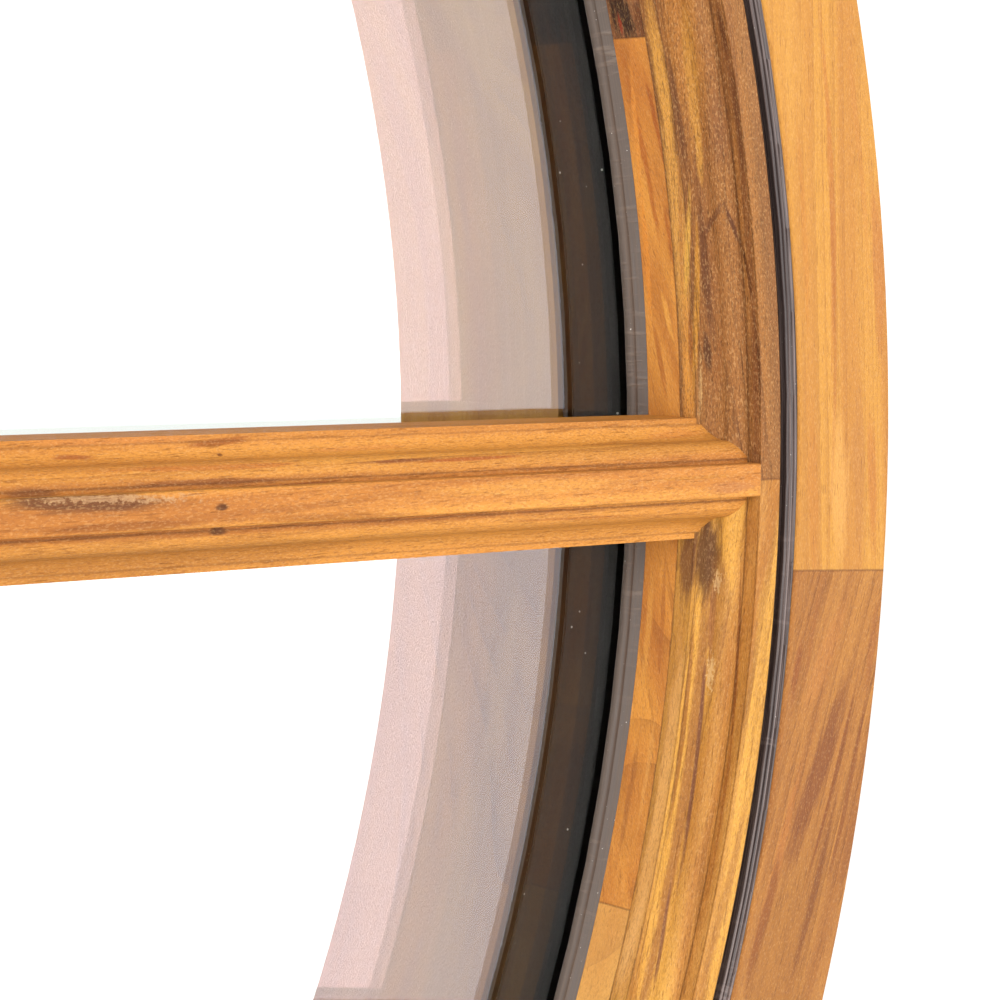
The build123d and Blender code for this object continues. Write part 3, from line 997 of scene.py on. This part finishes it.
    def bar(self) -> Teak:
        """Choose the glazing bar's board.

        Returns:
            The bar's finish.
        """
        return Teak(
            pale="#C08136", warm="#A7652A", dark="#7B451C", faded="#C88B42", name="glazing_bar_teak",
            grain=2.0, seed=13.0, stripes=0.7, lines=0.5, veins=0.3, fuzz=0.6,
            creases=self.bar_painted_shade, profile=Profile.BAR,
            streaks=(
                Streak(300.0, 23.5, 0.0, 170.0, 3.4, "#AD7030", 0.6),
                Streak(320.0, -15.5, 0.0, 110.0, 7.0, "#B17730", 0.5),
                Streak(205.0, -17.0, 0.0, 75.0, 11.0, "#A0682B", 0.75),
                Streak(200.0, 14.0, 0.0, 60.0, 5.0, "#AB6A2C", 0.5, 0.6),
                Streak(190.0, 0.0, 0.0, 70.0, 3.4, "#9B5E29", 0.65),
                Streak(240.0, -7.2, 0.0, 120.0, 1.5, "#8D4E20", 0.6),
                Streak(205.0, 7.2, 0.0, 90.0, 1.9, "#9A5D29", 0.55),
                Streak(199.0, 2.3, -2.5, 22.0, 2.6, "#57321C", 0.9, 0.6),
                Streak(203.0, 2.9, -2.5, 20.0, 1.0, "#B08A62", 0.6, 1.6, True),
                Streak(190.4, 6.7, -2.5, 6.7, 1.5, "#724325", 0.7, 0.6),
                Streak(226.5, 7.6, -0.3, 19.5, 1.0, "#784522", 0.7, 0.6),
                Streak(202.1, 19.0, -3.1, 5.1, 0.9, "#854020", 0.7, 0.7),
                Streak(233.7, 21.2, 4.9, 10.2, 1.0, "#804116", 0.7, 0.6),
                Streak(227.7, 0.2, -2.5, 1.8, 0.9, "#452511", 0.9, 0.6),
                Streak(228.8, -7.4, -2.8, 2.4, 1.1, "#522F15", 0.9, 0.6),
                Streak(233.1, 17.8, -3.7, 0.8, 0.7, "#623111", 0.9, 0.4),
                Streak(271.3, 10.7, 0.6, 11.6, 0.8, "#6D3720"),
                Streak(287.3, 10.4, 1.4, 19.6, 0.8, "#93491E"),
                Streak(245.0, 6.0, 2.8, 14.3, 0.8, "#7B401E"),
                Streak(355.5, -1.3, 0.0, 9.0, 1.6, "#A46938"),
                Streak(343.6, 1.1, 0.4, 16.9, 0.5, "#A66C25", 0.6),
                Streak(346.4, 19.0, 4.0, 10.5, 2.0, "#B57133", 0.6, 0.6),
                Streak(210.9, 22.5, -0.6, 22.6, 1.6, "#B77438", 0.6, 0.6),
                Streak(265.9, 18.3, 0.9, 17.2, 1.1, "#BE7B3A", 0.6, 0.6),
                Streak(207.9, -2.4, -0.9, 26.0, 1.2, "#7D4518", 0.7),
                Streak(252.5, -2.7, -0.6, 24.8, 1.1, "#864C1A", 0.6),
                Streak(301.4, 0.8, -0.3, 33.9, 2.1, "#C3873C", 0.6),
                Streak(228.7, 11.3, -0.5, 28.6, 1.5, "#A35A27", 0.6, 0.6),
                Streak(316.8, -9.5, -0.8, 19.2, 0.8, "#995B23", 0.7),
            ),
        )

    def dress(self) -> None:
        """Dress all the woodwork."""
        for ring in (self.frame_ring(), self.front_ring(), self.back_ring()):
            ring.dress()
        dress("glazing_bar", self.bar().build())
        # The hidden dowels are beech, which looks like a paler teak without veins
        dowel = Teak("#CDAE82", "#B8936A", "#8C6A48", faded="#D8BC94", name="dowel_beech", veins=0.0)
        dress("frame_dowels", dowel.build())


@dataclass
class GlazingUnit:
    """Two panes, the spacer between them, its black beads and its edge sealant.

    Attributes:
        front: The front pane's glass.
        rear: The rear pane's glass.
        spacer: The spacer's plastic, black over its rear corner with squeezed-out butyl and painted shade.
        butyl: The beads that bond the spacer to the panes.
        sealant: The sealant round the unit's edge.
    """

    front: FloatGlass = FloatGlass("front_float_glass", mirror="#DCDAE4")
    rear: FloatGlass = FloatGlass("coated_float_glass", mirror="#FFCACF")
    # The spacer's rear corner is black: squeezed-out butyl, and painted shade
    spacer: Plastic = Plastic("spacer_plastic", "#15110F", "#1D1715", dull=0.55, butyl_and_shade_from=51.4)
    butyl: Plastic = Plastic("black_butyl", Plastic.BUTYL, "#0B0908", dull=0.6, dust=0.0)
    sealant: Plastic = Plastic("edge_sealant_polysulfide", "#141312", "#1C1A19", dull=0.7, dust=0.0)

    def dress(self) -> None:
        """Dress the glazing unit."""
        dress("front_pane", self.front.build())
        dress("rear_pane", self.rear.build())
        dress("spacer", self.spacer.build())
        butyl = self.butyl.build()
        for node in ("butyl_front", "butyl_rear"):
            dress(node, butyl)
        dress("edge_sealant", self.sealant.build())


@dataclass
class Seals:
    """The rubber seals, the bedding tape and the setting blocks.

    Attributes:
        weather: The ribbed seal between the frame and the ring.
        glazing: The lipped seal between the ring and the front pane.
        tape: The foam tape that the rear pane lies against.
        block: The blocks that carry the glazing unit.
    """

    weather: Rubber = Rubber("weather_seal_rubber", "#352A28", "#81716C", gloss=0.4, creases=0.5)
    glazing: Rubber = Rubber(
        "glazing_seal_rubber", "#4A3D34", "#65564A", gloss=0.5, creases=0.9, lines=0.45
    )
    tape: Rubber = Rubber("foam_tape", "#5C5350", "#736A65", gloss=0.8, creases=0.2)
    block: Plastic = Plastic("setting_block_plastic", "#2A2A2A", "#333333", dull=0.5, dust=0.0)

    def dress(self) -> None:
        """Dress the seals and blocks."""
        dress("weather_seal", self.weather.build())
        dress("glazing_seal", self.glazing.build())
        dress("rear_glazing_tape", self.tape.build())
        dress("setting_blocks", self.block.build())


@dataclass(frozen=True)
class Softbox:
    """A soft rectangular lamp.

    Attributes:
        name: The lamp's name.
        place: Where it hangs, in metres.
        target: The point that it faces, in metres.
        size: Its width and height, in metres.
        power: Its power, in watts.
    """

    name: str
    place: tuple
    target: tuple
    size: tuple
    power: float

    def hang(self) -> None:
        """Hang the lamp at its place, turned to its target."""
        data = bpy.data.lights.new(self.name, "AREA")
        data.shape = "RECTANGLE"
        data.size, data.size_y = self.size
        data.energy = self.power
        lamp = bpy.data.objects.new(self.name, data)
        aim = Vector(self.target) - Vector(self.place)
        turn = aim.to_track_quat("-Z", "Y").to_matrix().to_4x4()
        lamp.matrix_world = Matrix.Translation(self.place) @ turn
        bpy.context.scene.collection.objects.link(lamp)


@dataclass
class Studio:
    """A pale floor, an even white room and soft lights.

    Attributes:
        floor_height: The floor's height, at the window's lowest point, in metres.
        floor_size: The floor's width, in metres.
        floor_colour: Colour of the floor's matt paint, which spreads light evenly.
        floor_roughness: The paint's roughness.
        room: Strength of the room's even light.
        key: The main lamp, at the left.
        strip: A lamp where the panes mirror it, which lays a pale haze over the reveal.
    """

    floor_height: float = -0.4
    floor_size: float = 12.0
    floor_colour: str = "#F4F3F1"
    floor_roughness: float = 0.8
    room: float = 1.2
    key: Softbox = Softbox("left_softbox", (-1.5, -1.3, 0.35), (0.2, 0.0, 0.0), (1.6, 1.6), 47.0)
    strip: Softbox = Softbox(
        "strip_softbox", (1.0, -0.83, 0.13), (0.31, 0.03, 0.13), (0.6, 1.05), 6.2
    )

    def build(self) -> None:
        """Build the floor, the room's light and the lamps."""
        self._floor()
        self._room()
        self.key.hang()
        self.strip.hang()

    def _floor(self) -> None:
        """Lay the floor."""
        half = self.floor_size / 2
        corners = [(-half, -half, 0), (half, -half, 0), (half, half, 0), (-half, half, 0)]
        mesh = bpy.data.meshes.new("floor")
        mesh.from_pydata(corners, [], [(0, 1, 2, 3)])
        floor = bpy.data.objects.new("floor", mesh)
        floor.location.z = self.floor_height
        bpy.context.scene.collection.objects.link(floor)
        paint = {"Roughness": self.floor_roughness, "Base_Color": linear(self.floor_colour)}
        mesh.materials.append(Recipe.begin("floor_paint", **paint).material)

    def _room(self) -> None:
        """Light the scene evenly from all round."""
        world = bpy.data.worlds.new("white_room")
        world.use_nodes = True
        background = world.node_tree.nodes["Background"]
        background.inputs["Color"].default_value = linear("#FFFFFF")
        background.inputs["Strength"].default_value = self.room
        bpy.context.scene.world = world


@dataclass
class PhotoCamera:
    """The camera, at the photograph's place and angle.

    Attributes:
        place: Its place, in millimetres.
        yaw: Its turn from +Y towards +X, in degrees.
        pitch: Its tilt upwards, in degrees.
        roll: Its turn about its own axis, in degrees.
        focal: Its focal length, in shares of the image's width.
        sensor: Its sensor's width, in millimetres.
        nearest: The nearest distance that it shows, in metres.
    """

    place: tuple = (-68.0, -436.3, 45.8)
    yaw: float = 39.4485
    pitch: float = -4.7392
    roll: float = 0.7625
    focal: float = 2.92532
    sensor: float = 36.0
    nearest: float = 0.01

    def build(self) -> None:
        """Create the camera and make it the scene's."""
        yaw, pitch, roll = (math.radians(angle) for angle in (self.yaw, self.pitch, self.roll))
        flat = math.cos(pitch)
        forward = Vector((math.sin(yaw) * flat, math.cos(yaw) * flat, math.sin(pitch)))
        level = Vector((math.cos(yaw), -math.sin(yaw), 0.0))
        upright = level.cross(forward)
        right = math.cos(roll) * level + math.sin(roll) * upright
        up = math.cos(roll) * upright - math.sin(roll) * level
        data = bpy.data.cameras.new("photo_camera")
        data.sensor_width = self.sensor
        data.lens = self.focal * self.sensor
        data.clip_start = self.nearest
        camera = bpy.data.objects.new("photo_camera", data)
        turn = Matrix((right, up, -forward)).transposed().to_4x4()
        camera.matrix_world = Matrix.Translation(Vector(self.place) * MM) @ turn
        bpy.context.scene.collection.objects.link(camera)
        bpy.context.scene.camera = camera


def main() -> None:
    """Dress the window, build the studio and set the view transform."""
    PhotoCamera().build()
    Studio().build()
    for assembly in (Woodwork(), GlazingUnit(), Seals()):
        assembly.dress()
    bpy.context.scene.view_settings.view_transform = "Standard"


if __name__ == "__main__":
    main()
